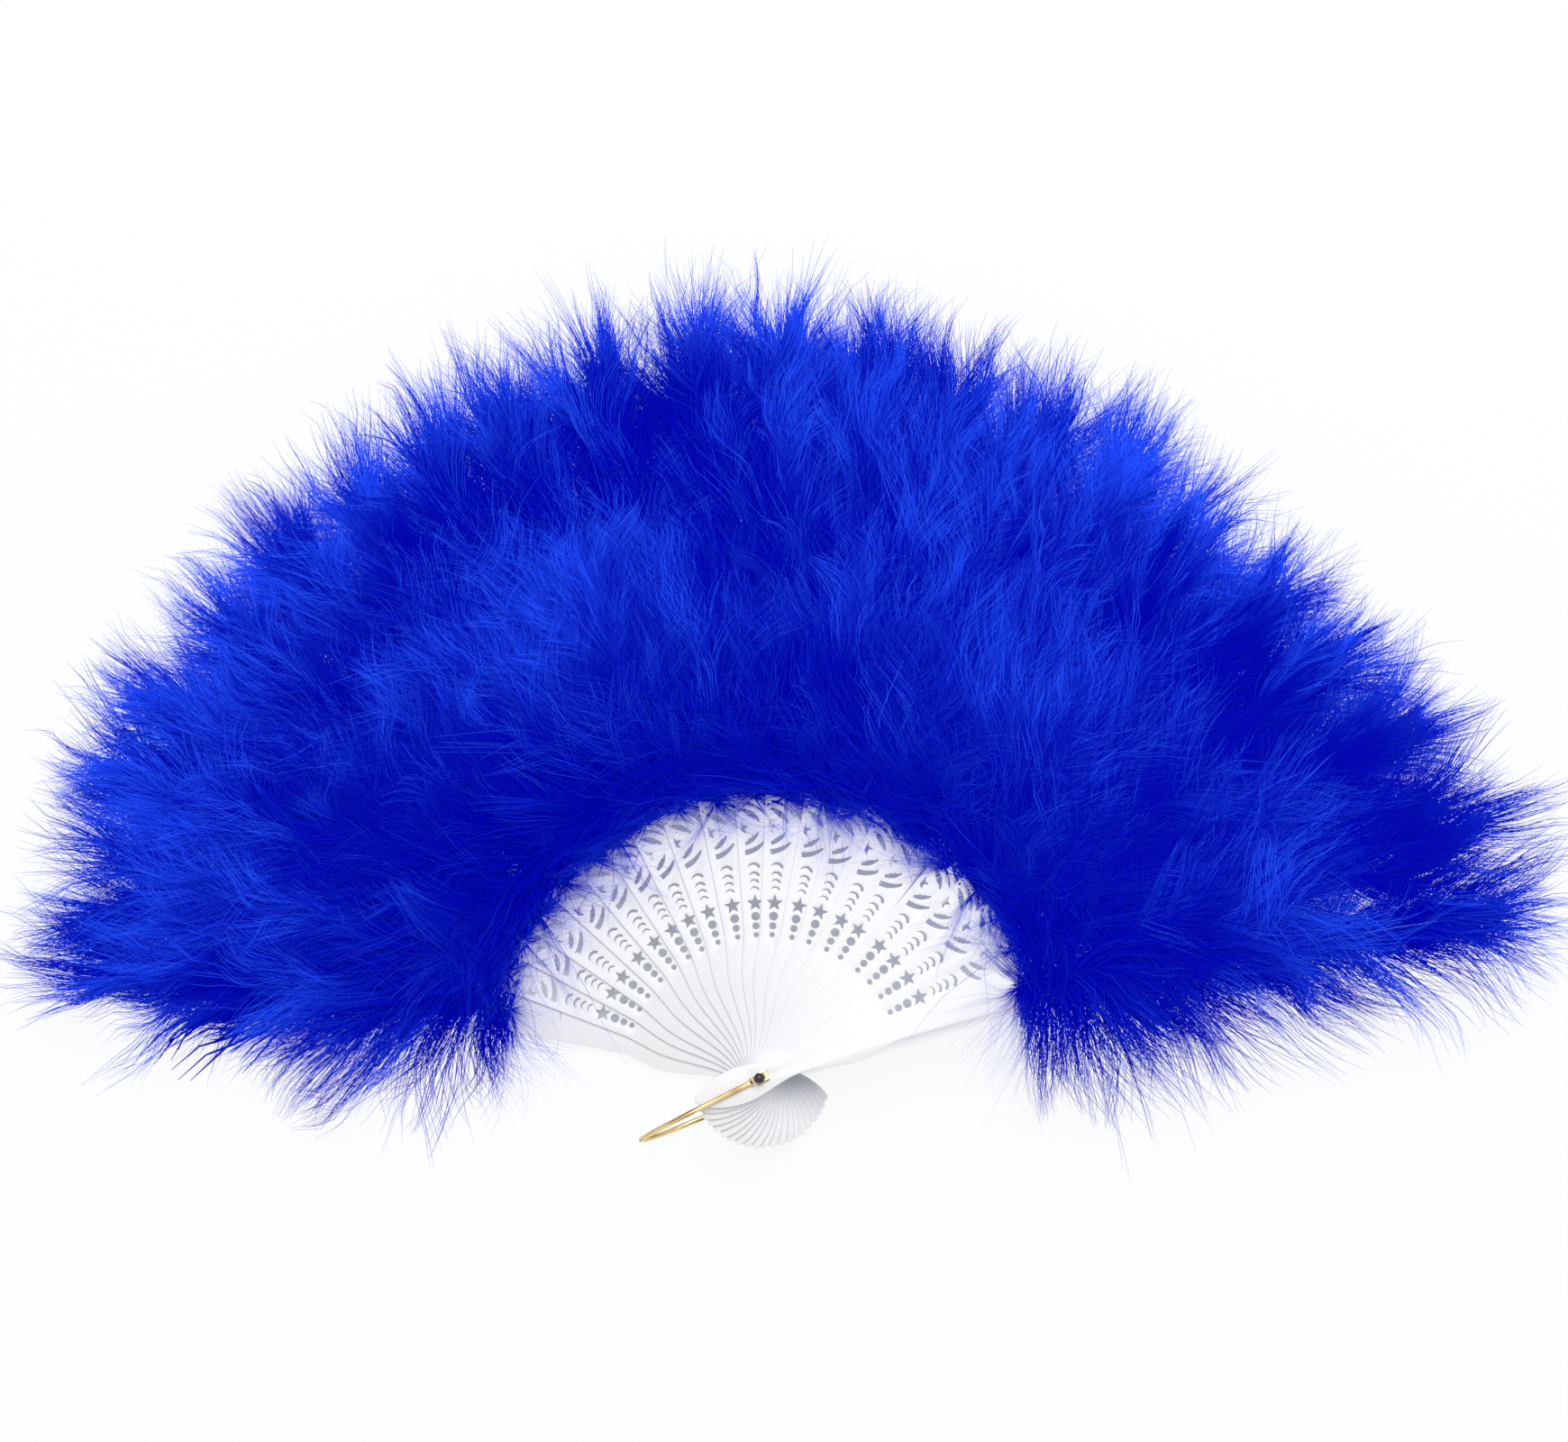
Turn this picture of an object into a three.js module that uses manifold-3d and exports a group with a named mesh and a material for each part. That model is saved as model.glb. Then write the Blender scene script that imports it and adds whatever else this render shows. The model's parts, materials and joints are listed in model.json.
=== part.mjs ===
// Feather fan, spread open: pierced sticks between two plain guards on one rivet, a marabou plume on the
// end of each, and a wire loop for a wrist cord. Lengths are millimetres and angles are degrees.
// The rivet stands on +Z at the origin, the fan lies on its back, and its middle points along +Y.
import * as THREE from 'three';
import { mergeVertices } from 'three/addons/utils/BufferGeometryUtils.js';
import Module from 'manifold-3d';

const wasm = await Module();
wasm.setup();

// Rivet
const pin_diameter = 1.8;
const pin_clearance = 0.15;
const pin_grip = 1.4;
const head_diameter = 4.4;
const head_thickness = 1.0;
const ball_diameter = 3.5;
const ball_seat_diameter = 2.9;

// Layers of the stack, with a slip between each and the next
const slip = 0.15;
const stick_thickness = 0.95;
const guard_thickness = 1.7;
const plume_thickness = 0.6;

// Spread: the back guard's direction, the way round to the front guard, and where each stick stands on it
const back_guard_angle = 164.9;
const spread = 145.1;
const stick_shares = [
  0.0503, 0.0999, 0.1427, 0.1992, 0.2502, 0.2998, 0.3432, 0.3921, 0.4487, 0.501,
  0.5451, 0.601, 0.6499, 0.703, 0.7471, 0.8063, 0.8525, 0.9021, 0.9518,
];

// Sticks and guards share the reach of their tails below the rivet and the neck just above it
const tail_length = 22;
const tail_widest_at = -6.4;
const neck_at = 12.6;
const neck_half_width = 2.7;

// Profile of a stick above its tail, up to the end that carries the plume
const stick = {
  tail_half_width: 5.5,
  belly_at: 34.5,
  belly_half_width: 5,
  waist_at: 47.5,
  waist_half_width: 4.05,
  end_half_width: 5.6,
};

// Profile of a guard, with the corners of its end rounded
const guard = {
  tail_half_width: 5.8,
  belly_at: 33.2,
  belly_half_width: 5.5,
  waist_at: 46.6,
  waist_half_width: 3.6,
  end_half_width: 6.25,
};
const guard_end_past_medallion = 4;
const guard_corner_radius = 1.5;
const guard_end_rise = 0.7;

// Pierced pattern up each stick: dots, a star and moons, placed by shares of the way from first to last
const pattern_at = 46.7;
const pattern_length = 23.8;
const dot_radius = 1.39;
const dot_place_shares = [0, 0.122, 0.254];
const dot_radius_shares = [0.6, 0.81, 1];
const star_radius = 2.8;
const star_points = 5;
const star_place_share = 0.437;
const star_waist_share = 0.42;
const moon_width = 4.25;
const moon_thickness = 0.85;
const moon_place_shares = [0.668, 0.769, 0.874, 1];
const moon_width_shares = [0.71, 0.76, 0.87, 1];
const moon_thickness_shares = [0.59, 0.71, 0.88, 1];
const moon_left_angle = 165;
const moon_right_angle = 12;
const moon_swell_share = 0.4;

// Half medallion at the end of each stick, against a solid border on the left, with a hole for the stitch.
// Its slots give their outer radius and widths as shares of the medallion's radius, between two angles.
const medallion_past_moons = 11.5;
const medallion_at = pattern_at + pattern_length + medallion_past_moons;
const medallion_radius = 9.1;
const medallion_border = 1.9;
const medallion_slot_shares = [
  { outer: 1, start: 90, start_width: 0.088, swell: 0.055, end: 27, end_width: 0.017 },
  { outer: 0.714, start: 90, start_width: 0.066, swell: 0.154, end: 18, end_width: 0.055 },
  { outer: 0.648, start: -78, start_width: 0.121, swell: 0.099, end: -17, end_width: 0.066 },
  { outer: 1, start: -83, start_width: 0.187, swell: 0.033, end: -32, end_width: 0.066 },
];
const medallion_star_radius = 2.4;
const medallion_rim = 1.5;
const medallion_rim_start = 12;
const stitch_radius = 0.45;
const stitch_inset = 1.05;
const stitch_drop = 2.9;

// Wire loop: flattened eyes on the rivet in front and behind, straight legs, and a rounded bend
const wire_diameter = 1.6;
const eye_thickness = 0.8;
const eye_width = 3.6;
const eye_overhang = 3;
const eye_length = 7.5;
const loop_straight = 23;
const loop_reach = 44;
const loop_angle = 206.7;

// Plumes: how far the longest reaches from the rivet, and how each one differs from it. They lie like the
// slats of a blind, the left side of each up over its neighbour, so the leans only fall from left to right.
const plume_reach = 268;
const plume_half_width = 44;
const plume_seat_gap = 0.3;
const quill_half_width = 0.6;
const quill_length = 4;
const plume_lean = 6;
const plume_reach_shares = [
  0.93, 0.95, 0.975, 0.955, 0.97, 0.975, 0.965, 0.985, 0.985, 1, 1,
  1, 0.985, 0.96, 0.975, 0.94, 0.925, 0.94, 0.945, 0.96, 0.985,
];
const plume_lean_shares = [
  0.9, 0.4, 0.3, 0.25, 0.22, 0.18, 0.15, 0.1, 0.08, 0.05, 0,
  0, -0.04, -0.07, -0.12, -0.15, -0.2, -0.25, -0.35, -0.5, -1,
];
const plume_roll = 12.5;
const lowest_roll_share = 0.57;
const plume_rise = 3.4;
const topmost_rise_share = 0.5;

// A vane's outline as shares of its length and half width, and how its edge breaks into tufts
const vane_shares = [
  [0, 0.06], [0.03, 0.4], [0.1, 0.7], [0.22, 0.92], [0.4, 1],
  [0.58, 0.96], [0.74, 0.8], [0.88, 0.5], [1, 0.06],
];
const tufts_per_side = 9;
const tuft_depth_share = 0.16;
const tuft_sweep_share = 0.035;

// How finely curves are cut
const hole_sides = 10;
const dot_sides = 8;
const stitch_sides = 5;
const turned_sides = 20;
const wire_sides = 8;
const wire_steps = 42;

// Heights of the layers, from the rear rivet head up
const wire_radius = wire_diameter / 2;
const rear_eye_bottom = head_thickness + slip;
const back_guard_bottom = rear_eye_bottom + eye_thickness + slip;
const first_stick_bottom = back_guard_bottom + guard_thickness + slip;
const stick_pitch = stick_thickness + slip;
const front_guard_bottom = first_stick_bottom + stick_shares.length * stick_pitch;
const front_eye_bottom = front_guard_bottom + guard_thickness + slip;
const ball_bottom = front_eye_bottom + eye_thickness + slip;
const rear_leg_height = back_guard_bottom - slip - wire_radius;
const front_leg_height = front_eye_bottom + wire_radius;

const white_plastic = new THREE.MeshStandardMaterial({ color: 0xf2f3f8, roughness: 0.38, metalness: 0 });
const blue_marabou = new THREE.MeshStandardMaterial({ color: 0x1022c8, roughness: 0.9, metalness: 0 });
const gold_wire = new THREE.MeshStandardMaterial({ color: 0xd9a63a, roughness: 0.2, metalness: 1 });
const black_enamel = new THREE.MeshStandardMaterial({ color: 0x0b0b10, roughness: 0.12, metalness: 0 });

const fan = new THREE.Group();
fan.name = 'feather_fan';

const along = (angle) => new THREE.Vector2(Math.cos(radians(angle)), Math.sin(radians(angle)));

function radians(angle) {
  return THREE.MathUtils.degToRad(angle);
}

function addMesh(name, geometry, material, parent) {
  const mesh = new THREE.Mesh(geometry, material);
  mesh.name = name;
  parent.add(mesh);
  return mesh;
}

// A group whose own +Y runs along the stick that points in this direction
function pointedAlong(angle) {
  const group = new THREE.Group();
  group.rotation.z = radians(angle - 90);
  fan.add(group);
  return group;
}

function plate(outline, holes, thickness) {
  const shape = new THREE.Shape(outline);
  shape.holes = holes.map((points) => new THREE.Path(points));
  return new THREE.ExtrudeGeometry(shape, { depth: thickness, bevelEnabled: false, steps: 1 });
}

function circle(x, y, radius, sides) {
  return Array.from({ length: sides }, (_, i) => {
    const out = along((360 * i) / sides).multiplyScalar(radius);
    return new THREE.Vector2(x + out.x, y + out.y);
  });
}

const pinHole = () => circle(0, 0, pin_diameter / 2 + pin_clearance, hole_sides);

// Half width of a blade's right side as points, easing from tail to neck, belly and waist, then straight
function bladeSide(blade) {
  const tail_steps = 5;
  const ease_steps = 3;
  const blunt_share = 0.06;
  const tail_power_share = 0.8;
  const side = [];
  for (let i = 0; i < tail_steps; i++) {
    const share = blunt_share + ((1 - blunt_share) * i) / tail_steps;
    const width = blade.tail_half_width * Math.sin((share * Math.PI) / 2) ** tail_power_share;
    side.push([width, THREE.MathUtils.lerp(-tail_length, tail_widest_at, share)]);
  }
  const stations = [
    [blade.tail_half_width, tail_widest_at],
    [neck_half_width, neck_at],
    [blade.belly_half_width, blade.belly_at],
    [blade.waist_half_width, blade.waist_at],
  ];
  for (let i = 1; i < stations.length; i++) {
    const [from, to] = [stations[i - 1], stations[i]];
    for (let step = 0; step < ease_steps; step++) {
      const share = step / ease_steps;
      const eased = THREE.MathUtils.smoothstep(share, 0, 1);
      side.push([THREE.MathUtils.lerp(from[0], to[0], eased), THREE.MathUtils.lerp(from[1], to[1], share)]);
    }
  }
  side.push(stations[stations.length - 1]);
  return side;
}

function bladeOutline(blade, end) {
  const side = bladeSide(blade);
  const right = side.map(([x, y]) => new THREE.Vector2(x, y));
  const left = side.map(([x, y]) => new THREE.Vector2(-x, y)).reverse();
  return [...right, ...end, ...left];
}

// The stick's end is an arc round its medallion. It starts on the right, where the stick widens under the
// next one, and ends on the left edge.
const medallion_x = medallion_border - stick.end_half_width;
const end_arc_radius = medallion_radius + medallion_rim;

function stickEnd() {
  const steps = 6;
  const start = radians(medallion_rim_start);
  const finish = Math.acos((-stick.end_half_width - medallion_x) / end_arc_radius);
  return Array.from({ length: steps + 1 }, (_, i) => {
    const angle = THREE.MathUtils.lerp(start, finish, i / steps);
    const x = medallion_x + end_arc_radius * Math.cos(angle);
    return new THREE.Vector2(x, medallion_at + end_arc_radius * Math.sin(angle));
  });
}

function stickEndHeight() {
  return medallion_at + Math.sqrt(end_arc_radius ** 2 - medallion_x ** 2);
}

const guard_end_at = medallion_at + guard_end_past_medallion;

function guardEnd() {
  const steps = 3;
  const corner_x = guard.end_half_width - guard_corner_radius;
  const right = Array.from({ length: steps + 1 }, (_, i) => {
    const out = along((90 * i) / steps).multiplyScalar(guard_corner_radius);
    return new THREE.Vector2(corner_x + out.x, guard_end_at - guard_corner_radius + out.y);
  });
  const left = right.map((p) => new THREE.Vector2(-p.x, p.y)).reverse();
  return [...right, new THREE.Vector2(0, guard_end_at + guard_end_rise), ...left];
}

function star(x, y, radius, points) {
  return Array.from({ length: 2 * points }, (_, i) => {
    const reach = i % 2 ? radius * star_waist_share : radius;
    const out = along(90 + (180 * i) / points).multiplyScalar(reach);
    return new THREE.Vector2(x + out.x, y + out.y);
  });
}

// A curved slot inside an arc, with its own width at each end and a swell between, pointed where it has none.
// The slot's outer radius and widths are shares of the radius given here.
function arcSlot(x, y, radius, slot, steps) {
  const outer = [];
  const inner = [];
  for (let i = 0; i <= steps; i++) {
    const share = i / steps;
    const direction = along(THREE.MathUtils.lerp(slot.start, slot.end, share));
    const swell = slot.swell * Math.sin(share * Math.PI);
    const width = THREE.MathUtils.lerp(slot.start_width, slot.end_width, share) + swell;
    const far = radius * slot.outer;
    const near = far - radius * width;
    outer.push(new THREE.Vector2(x + direction.x * far, y + direction.y * far));
    if (width > 0) {
      inner.push(new THREE.Vector2(x + direction.x * near, y + direction.y * near));
    }
  }
  return [...outer, ...inner.reverse()];
}

const patternPlace = (share) => pattern_at + pattern_length * share;

// A moon opens towards the rivet, pointed on the left and blunt on the right
function moonHole(place_share, i) {
  const steps = 3;
  const half_angle = radians((moon_left_angle - moon_right_angle) / 2);
  const radius = (moon_width * moon_width_shares[i]) / (2 * Math.sin(half_angle));
  const thickness_share = (moon_thickness * moon_thickness_shares[i]) / radius;
  const slot = {
    outer: 1,
    start: moon_left_angle,
    start_width: 0,
    swell: thickness_share * moon_swell_share,
    end: moon_right_angle,
    end_width: thickness_share,
  };
  return arcSlot(0, patternPlace(place_share) - radius, radius, slot, steps);
}

// The half star stands against the border, so only its right side is cut
function halfStar() {
  const waist = medallion_star_radius * star_waist_share;
  const whole = star(medallion_x, medallion_at, medallion_star_radius, star_points);
  const kept = whole.filter((point) => point.x > medallion_x + waist / 2);
  const bottom = new THREE.Vector2(medallion_x, medallion_at - waist);
  const top = new THREE.Vector2(medallion_x, medallion_at + medallion_star_radius);
  return [top, bottom, ...kept];
}

function stickHoles() {
  const slot_steps = 3;
  const corner_y = medallion_at + Math.sqrt(end_arc_radius ** 2 - medallion_border ** 2);
  return [
    pinHole(),
    ...dot_place_shares.map((share, i) => {
      return circle(0, patternPlace(share), dot_radius * dot_radius_shares[i], dot_sides);
    }),
    star(0, patternPlace(star_place_share), star_radius, star_points),
    ...moon_place_shares.map(moonHole),
    ...medallion_slot_shares.map((slot) => {
      return arcSlot(medallion_x, medallion_at, medallion_radius, slot, slot_steps);
    }),
    halfStar(),
    circle(stitch_inset - stick.end_half_width, corner_y - stitch_drop, stitch_radius, stitch_sides),
  ];
}

// Plumes: a bare quill, then a flat vane whose edges break into tufts that sweep towards the tip
function plumeOutline(length, half_width, bare_length) {
  const vane_length = length - bare_length;
  const curve = new THREE.SplineCurve(vane_shares.map(([y, x]) => new THREE.Vector2(x, y)));
  const edge = curve.getSpacedPoints(2 * tufts_per_side);
  const side = edge.map((point, i) => {
    const tuft = i % 2 ? 1 : 1 - tuft_depth_share;
    const sweep = i % 2 ? tuft_sweep_share : 0;
    const x = Math.max(point.x * tuft * half_width, quill_half_width);
    return [x, bare_length + (point.y + sweep) * vane_length];
  });
  const right = [[quill_half_width, 0], ...side].map(([x, y]) => new THREE.Vector2(x, y));
  const left = right.map((p) => new THREE.Vector2(-p.x, p.y)).reverse();
  return [...right, ...left];
}

// Every vane starts at the same distance from the rivet, clear of the ends of the sticks. The lowest plume
// rises most towards its tip, and the topmost rolls most over its neighbour.
function addPlume(name, parent, layer_bottom, layer_thickness, blade_end, index) {
  const seat = blade_end + plume_seat_gap;
  const bare_length = stickEndHeight() + plume_seat_gap + quill_length - seat;
  const length = plume_reach * plume_reach_shares[index] - seat;
  const height_share = index / (stick_shares.length + 1);
  const geometry = plate(plumeOutline(length, plume_half_width, bare_length), [], plume_thickness);
  geometry.translate(0, 0, -plume_thickness / 2);
  const mesh = addMesh(name, geometry, blue_marabou, parent);
  mesh.position.set(0, seat, layer_bottom + layer_thickness / 2);
  mesh.rotation.order = 'ZXY';
  mesh.rotation.set(
    radians(plume_rise * THREE.MathUtils.lerp(1, topmost_rise_share, height_share)),
    radians(plume_roll * THREE.MathUtils.lerp(lowest_roll_share, 1, height_share)),
    radians(plume_lean * plume_lean_shares[index]),
  );
}

function addGuard(name, angle, bottom, plume_index) {
  const group = pointedAlong(angle);
  const geometry = plate(bladeOutline(guard, guardEnd()), [pinHole()], guard_thickness);
  addMesh(name, geometry, white_plastic, group).position.z = bottom;
  const end = guard_end_at + guard_end_rise;
  addPlume(`${name}_plume`, group, bottom, guard_thickness, end, plume_index);
}

function addSticks() {
  const geometry = plate(bladeOutline(stick, stickEnd()), stickHoles(), stick_thickness);
  stick_shares.forEach((share, i) => {
    const number = String(i + 1).padStart(2, '0');
    const bottom = first_stick_bottom + i * stick_pitch;
    const group = pointedAlong(back_guard_angle - spread * share);
    addMesh(`stick_${number}`, geometry, white_plastic, group).position.z = bottom;
    addPlume(`stick_${number}_plume`, group, bottom, stick_thickness, stickEndHeight(), i + 1);
  });
}

// Rivet: a pin with a flat rear head, and a ball pressed on its front end
const pin_top = ball_bottom + pin_grip;

function turned(profile) {
  return new THREE.LatheGeometry(profile.map(([x, y]) => new THREE.Vector2(x, y)), turned_sides);
}

function addTurned(name, profile, material) {
  const mesh = addMesh(name, turned(profile), material, fan);
  mesh.rotation.x = radians(90);
}

function addRivet() {
  const pin_radius = pin_diameter / 2;
  const head_radius = head_diameter / 2;
  const edge = head_thickness / 4;
  addTurned('rivet_pin', [
    [0, 0],
    [head_radius - edge, 0],
    [head_radius, edge],
    [head_radius, head_thickness],
    [pin_radius, head_thickness],
    [pin_radius, pin_top],
    [0, pin_top],
  ], gold_wire);

  const ball_radius = ball_diameter / 2;
  const seat_radius = ball_seat_diameter / 2;
  const bore_radius = pin_radius + pin_clearance;
  const bore_top = pin_top + slip;
  const centre = ball_bottom + Math.sqrt(ball_radius ** 2 - seat_radius ** 2);
  const start = Math.asin(-(centre - ball_bottom) / ball_radius);
  const steps = 9;
  const rim = Array.from({ length: steps }, (_, i) => {
    const angle = THREE.MathUtils.lerp(start, Math.PI / 2, i / steps);
    return [ball_radius * Math.cos(angle), centre + ball_radius * Math.sin(angle)];
  });
  addTurned('rivet_ball', [
    [0, bore_top],
    [bore_radius, bore_top],
    [bore_radius, ball_bottom],
    ...rim,
    [0, centre + ball_radius],
  ], black_enamel);
}

// The wire's centre line in the plane through the rivet: out along the rear leg, round, and back in front
class LoopPath extends THREE.Curve {
  getPoint(t, target = new THREE.Vector3()) {
    const middle = (front_leg_height + rear_leg_height) / 2;
    const half_gap = (front_leg_height - rear_leg_height) / 2;
    const bend = loop_reach - wire_radius - loop_straight;
    const leg = loop_straight - eye_start;
    const bend_length = (Math.PI * (half_gap + bend)) / 2;
    const run = t * (2 * leg + bend_length);
    const past_bend = run - leg - bend_length;
    if (run < leg) return target.set(eye_start + run, 0, rear_leg_height);
    if (past_bend > 0) return target.set(loop_straight - past_bend, 0, front_leg_height);
    const angle = (Math.PI * (run - leg)) / bend_length - Math.PI / 2;
    return target.set(loop_straight + bend * Math.cos(angle), 0, middle + half_gap * Math.sin(angle));
  }
}

// The round wire starts clear of the rivet's head
const eye_start = head_diameter / 2 + 2 * pin_clearance;

function solidOf(geometry) {
  const bare = geometry.clone();
  bare.deleteAttribute('normal');
  bare.deleteAttribute('uv');
  const merged = mergeVertices(bare);
  const vertProperties = new Float32Array(merged.attributes.position.array);
  const triVerts = new Uint32Array(merged.index.array);
  return new wasm.Manifold(new wasm.Mesh({ numProp: 3, vertProperties, triVerts }));
}

function geometryOf(solid) {
  const { vertProperties, triVerts } = solid.getMesh();
  const geometry = new THREE.BufferGeometry();
  geometry.setAttribute('position', new THREE.BufferAttribute(vertProperties, 3));
  geometry.setIndex(new THREE.BufferAttribute(triVerts, 1));
  geometry.computeVertexNormals();
  return geometry;
}

function eye(bottom) {
  const half = eye_width / 2;
  const clip = half / 3;
  const far = eye_length - eye_overhang;
  const outline = [
    [-eye_overhang, clip - half], [clip - eye_overhang, -half], [far - clip, -half], [far, clip - half],
    [far, half - clip], [far - clip, half], [clip - eye_overhang, half], [-eye_overhang, half - clip],
  ].map(([x, y]) => new THREE.Vector2(x, y));
  return plate(outline, [pinHole()], eye_thickness).translate(0, 0, bottom);
}

function addLoop() {
  const section = new THREE.Shape(circle(0, 0, wire_radius, wire_sides));
  const wire = new THREE.ExtrudeGeometry(section, {
    steps: wire_steps,
    bevelEnabled: false,
    extrudePath: new LoopPath(),
  });
  const solid = solidOf(wire).add(solidOf(eye(rear_eye_bottom))).add(solidOf(eye(front_eye_bottom)));
  const mesh = addMesh('wire_loop', geometryOf(solid), gold_wire, fan);
  mesh.rotation.z = radians(loop_angle);
}

addRivet();
addLoop();
addGuard('back_guard', back_guard_angle, back_guard_bottom, 0);
addSticks();
addGuard('front_guard', back_guard_angle - spread, front_guard_bottom, stick_shares.length + 1);

export default fan;
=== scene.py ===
"""Feather fan, spread open on its back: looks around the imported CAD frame, in metres.

The fan's middle points along +Y, the rivet stands on +Z at the origin, and the camera looks down on it.
Sizes are written in millimetres and turned into metres by MM.
"""

import json
import math

import bmesh
import bpy
import numpy as np
from mathutils import Euler, Matrix, Vector


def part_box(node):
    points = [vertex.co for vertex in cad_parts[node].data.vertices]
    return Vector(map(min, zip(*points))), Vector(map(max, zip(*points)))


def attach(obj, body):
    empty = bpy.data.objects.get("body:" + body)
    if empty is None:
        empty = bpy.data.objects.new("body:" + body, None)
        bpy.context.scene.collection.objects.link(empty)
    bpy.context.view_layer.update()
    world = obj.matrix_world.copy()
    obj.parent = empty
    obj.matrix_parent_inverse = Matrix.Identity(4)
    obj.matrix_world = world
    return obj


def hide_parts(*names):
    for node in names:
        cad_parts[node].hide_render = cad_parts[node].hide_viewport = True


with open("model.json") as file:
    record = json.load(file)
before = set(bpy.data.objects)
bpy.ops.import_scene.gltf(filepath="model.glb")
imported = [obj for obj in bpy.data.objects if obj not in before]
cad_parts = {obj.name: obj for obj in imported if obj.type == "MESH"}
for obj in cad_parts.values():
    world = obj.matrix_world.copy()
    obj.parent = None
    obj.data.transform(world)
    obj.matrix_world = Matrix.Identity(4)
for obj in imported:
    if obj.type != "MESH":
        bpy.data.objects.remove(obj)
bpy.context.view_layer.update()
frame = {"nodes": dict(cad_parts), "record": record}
MM = 0.001

# Camera: the photograph looks almost straight down on the fan, a little from the handle's side.
# The rivet's pixel, the tilt and the distance were fitted to the holes of the sticks.
image_width, image_height = 1740, 1600
focal_pixels = 2500
rivet_pixel = (847.0, 1199.0)
rivet_distance = 741.8 * MM
view_tilt = Euler((math.radians(-10.5), math.radians(-2.14), 0))
sensor_width = 36

camera_data = bpy.data.cameras.new("camera")
camera_data.sensor_fit = "HORIZONTAL"
camera_data.sensor_width = sensor_width
camera_data.lens = sensor_width * focal_pixels / image_width
camera_data.clip_start = 10 * MM
camera = bpy.data.objects.new("camera", camera_data)
bpy.context.scene.collection.objects.link(camera)
to_camera = view_tilt.to_matrix()
rivet_in_camera = Vector((
    (rivet_pixel[0] - image_width / 2) / focal_pixels * rivet_distance,
    (image_height / 2 - rivet_pixel[1]) / focal_pixels * rivet_distance,
    -rivet_distance,
))
from_camera = to_camera.transposed()
camera.matrix_world = Matrix.Translation(-(from_camera @ rivet_in_camera)) @ from_camera.to_4x4()
bpy.context.scene.camera = camera

# Studio: a white table top under the fan, an even white surround, and one large soft lamp overhead.
# The camera sees the table almost white outside the fan; under the fan a painted patch of shade lowers its
# glow, so that it shows shaded through the holes in the sticks.
floor_height = -0.6 * MM
floor_half = 3.0
# The table's blue tint is painted bounce light from the blue plumes, seen where the table lies in shade
table_white_painted_bounce = (0.83, 0.92, 1.0)
table_roughness = 0.9
table_glow, shaded_glow = 0.9, 0.22
shade_middle, shade_reach, shade_edge = (0, 46 * MM, 0), 52 * MM, 120 * MM
shade_slope, shade_start, shade_full = 0.3, -4 * MM, 4 * MM
surround_strength = 0.5
lamp_power = 18
lamp_size = 1.2
lamp_place = Vector((0.1, 0.7, 1.5))
lamp_target = Vector((0, 0.12, 0))


class Wire:
    """A socket of a node tree. Sums and products of wires add Math nodes, and node() adds any other node."""

    def __init__(self, tree, socket=None):
        self.tree, self.socket = tree, socket

    def node(self, kind, settings=None, values=None, output=0):
        made = self.tree.nodes.new(kind)
        for name, value in (settings or {}).items():
            setattr(made, name, value)
        for name, value in (values or {}).items():
            if isinstance(value, (Wire, list)):
                for wire in value if isinstance(value, list) else [value]:
                    self.tree.links.new(wire.socket, made.inputs[name])
            else:
                made.inputs[name].default_value = value
        return Wire(self.tree, made.outputs[output] if len(made.outputs) else None)

    def out(self, name):
        return Wire(self.tree, self.socket.node.outputs[name])

    def math(self, operation, *values):
        return self.node("ShaderNodeMath", {"operation": operation}, dict(enumerate(values)))

    def vector_math(self, operation, first, second, output=0):
        return self.node("ShaderNodeVectorMath", {"operation": operation}, {0: first, 1: second}, output)

    def point(self, x=0.0, y=0.0, z=0.0):
        return self.node("ShaderNodeCombineXYZ", values={0: x, 1: y, 2: z})

    def parts(self):
        split = self.node("ShaderNodeSeparateXYZ", values={0: self})
        return [split.out(axis) for axis in "XYZ"]

    def at_least(self, lowest):
        return self.math("MAXIMUM", self, lowest)

    def at_most(self, highest):
        return self.math("MINIMUM", self, highest)

    def mapped(self, ends, results=(0.0, 1.0), curve="LINEAR"):
        """This wire between two ends, turned into a value between two results and held there."""
        return self.node("ShaderNodeMapRange", {"interpolation_type": curve}, {
            "Value": self, "From Min": ends[0], "From Max": ends[1],
            "To Min": results[0], "To Max": results[1],
        })

    def between(self, first, second):
        """A colour that goes from the first to the second as this wire goes from 0 to 1."""
        return self.node("ShaderNodeMix", {"data_type": "RGBA"}, {
            0: self, 6: (*first, 1), 7: (*second, 1),
        }, output=2)

    def __add__(self, other):
        return self.math("ADD", self, other)

    def __radd__(self, other):
        return self.math("ADD", other, self)

    def __sub__(self, other):
        return self.math("SUBTRACT", self, other)

    def __rsub__(self, other):
        return self.math("SUBTRACT", other, self)

    def __mul__(self, other):
        return self.math("MULTIPLY", self, other)

    def __rmul__(self, other):
        return self.math("MULTIPLY", other, self)

    def __truediv__(self, other):
        return self.math("DIVIDE", self, other)

    def __pow__(self, other):
        return self.math("POWER", self, other)


def feed(shader, inputs):
    """Sets a shader's own sockets, or links them where a wire is given."""
    for name, value in inputs.items():
        if isinstance(value, Wire):
            value.tree.links.new(value.socket, shader.inputs[name])
        else:
            shader.inputs[name].default_value = value


def new_material(name):
    material = bpy.data.materials.new(name)
    material.use_nodes = True
    shader = material.node_tree.nodes["Principled BSDF"]
    return material, shader, Wire(material.node_tree)


def add_object(name, data):
    made = bpy.data.objects.new(name, data)
    bpy.context.scene.collection.objects.link(made)
    return made


def background_rays(wire):
    """1 where a ray comes from the camera, a mirror finish or glass, 0 where it carries light."""
    path = wire.node("ShaderNodeLightPath")
    seen, mirrored, refracted = (path.out(f"Is {kind} Ray") for kind in ("Camera", "Glossy", "Transmission"))
    return seen.at_least(mirrored).at_least(refracted)


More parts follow.
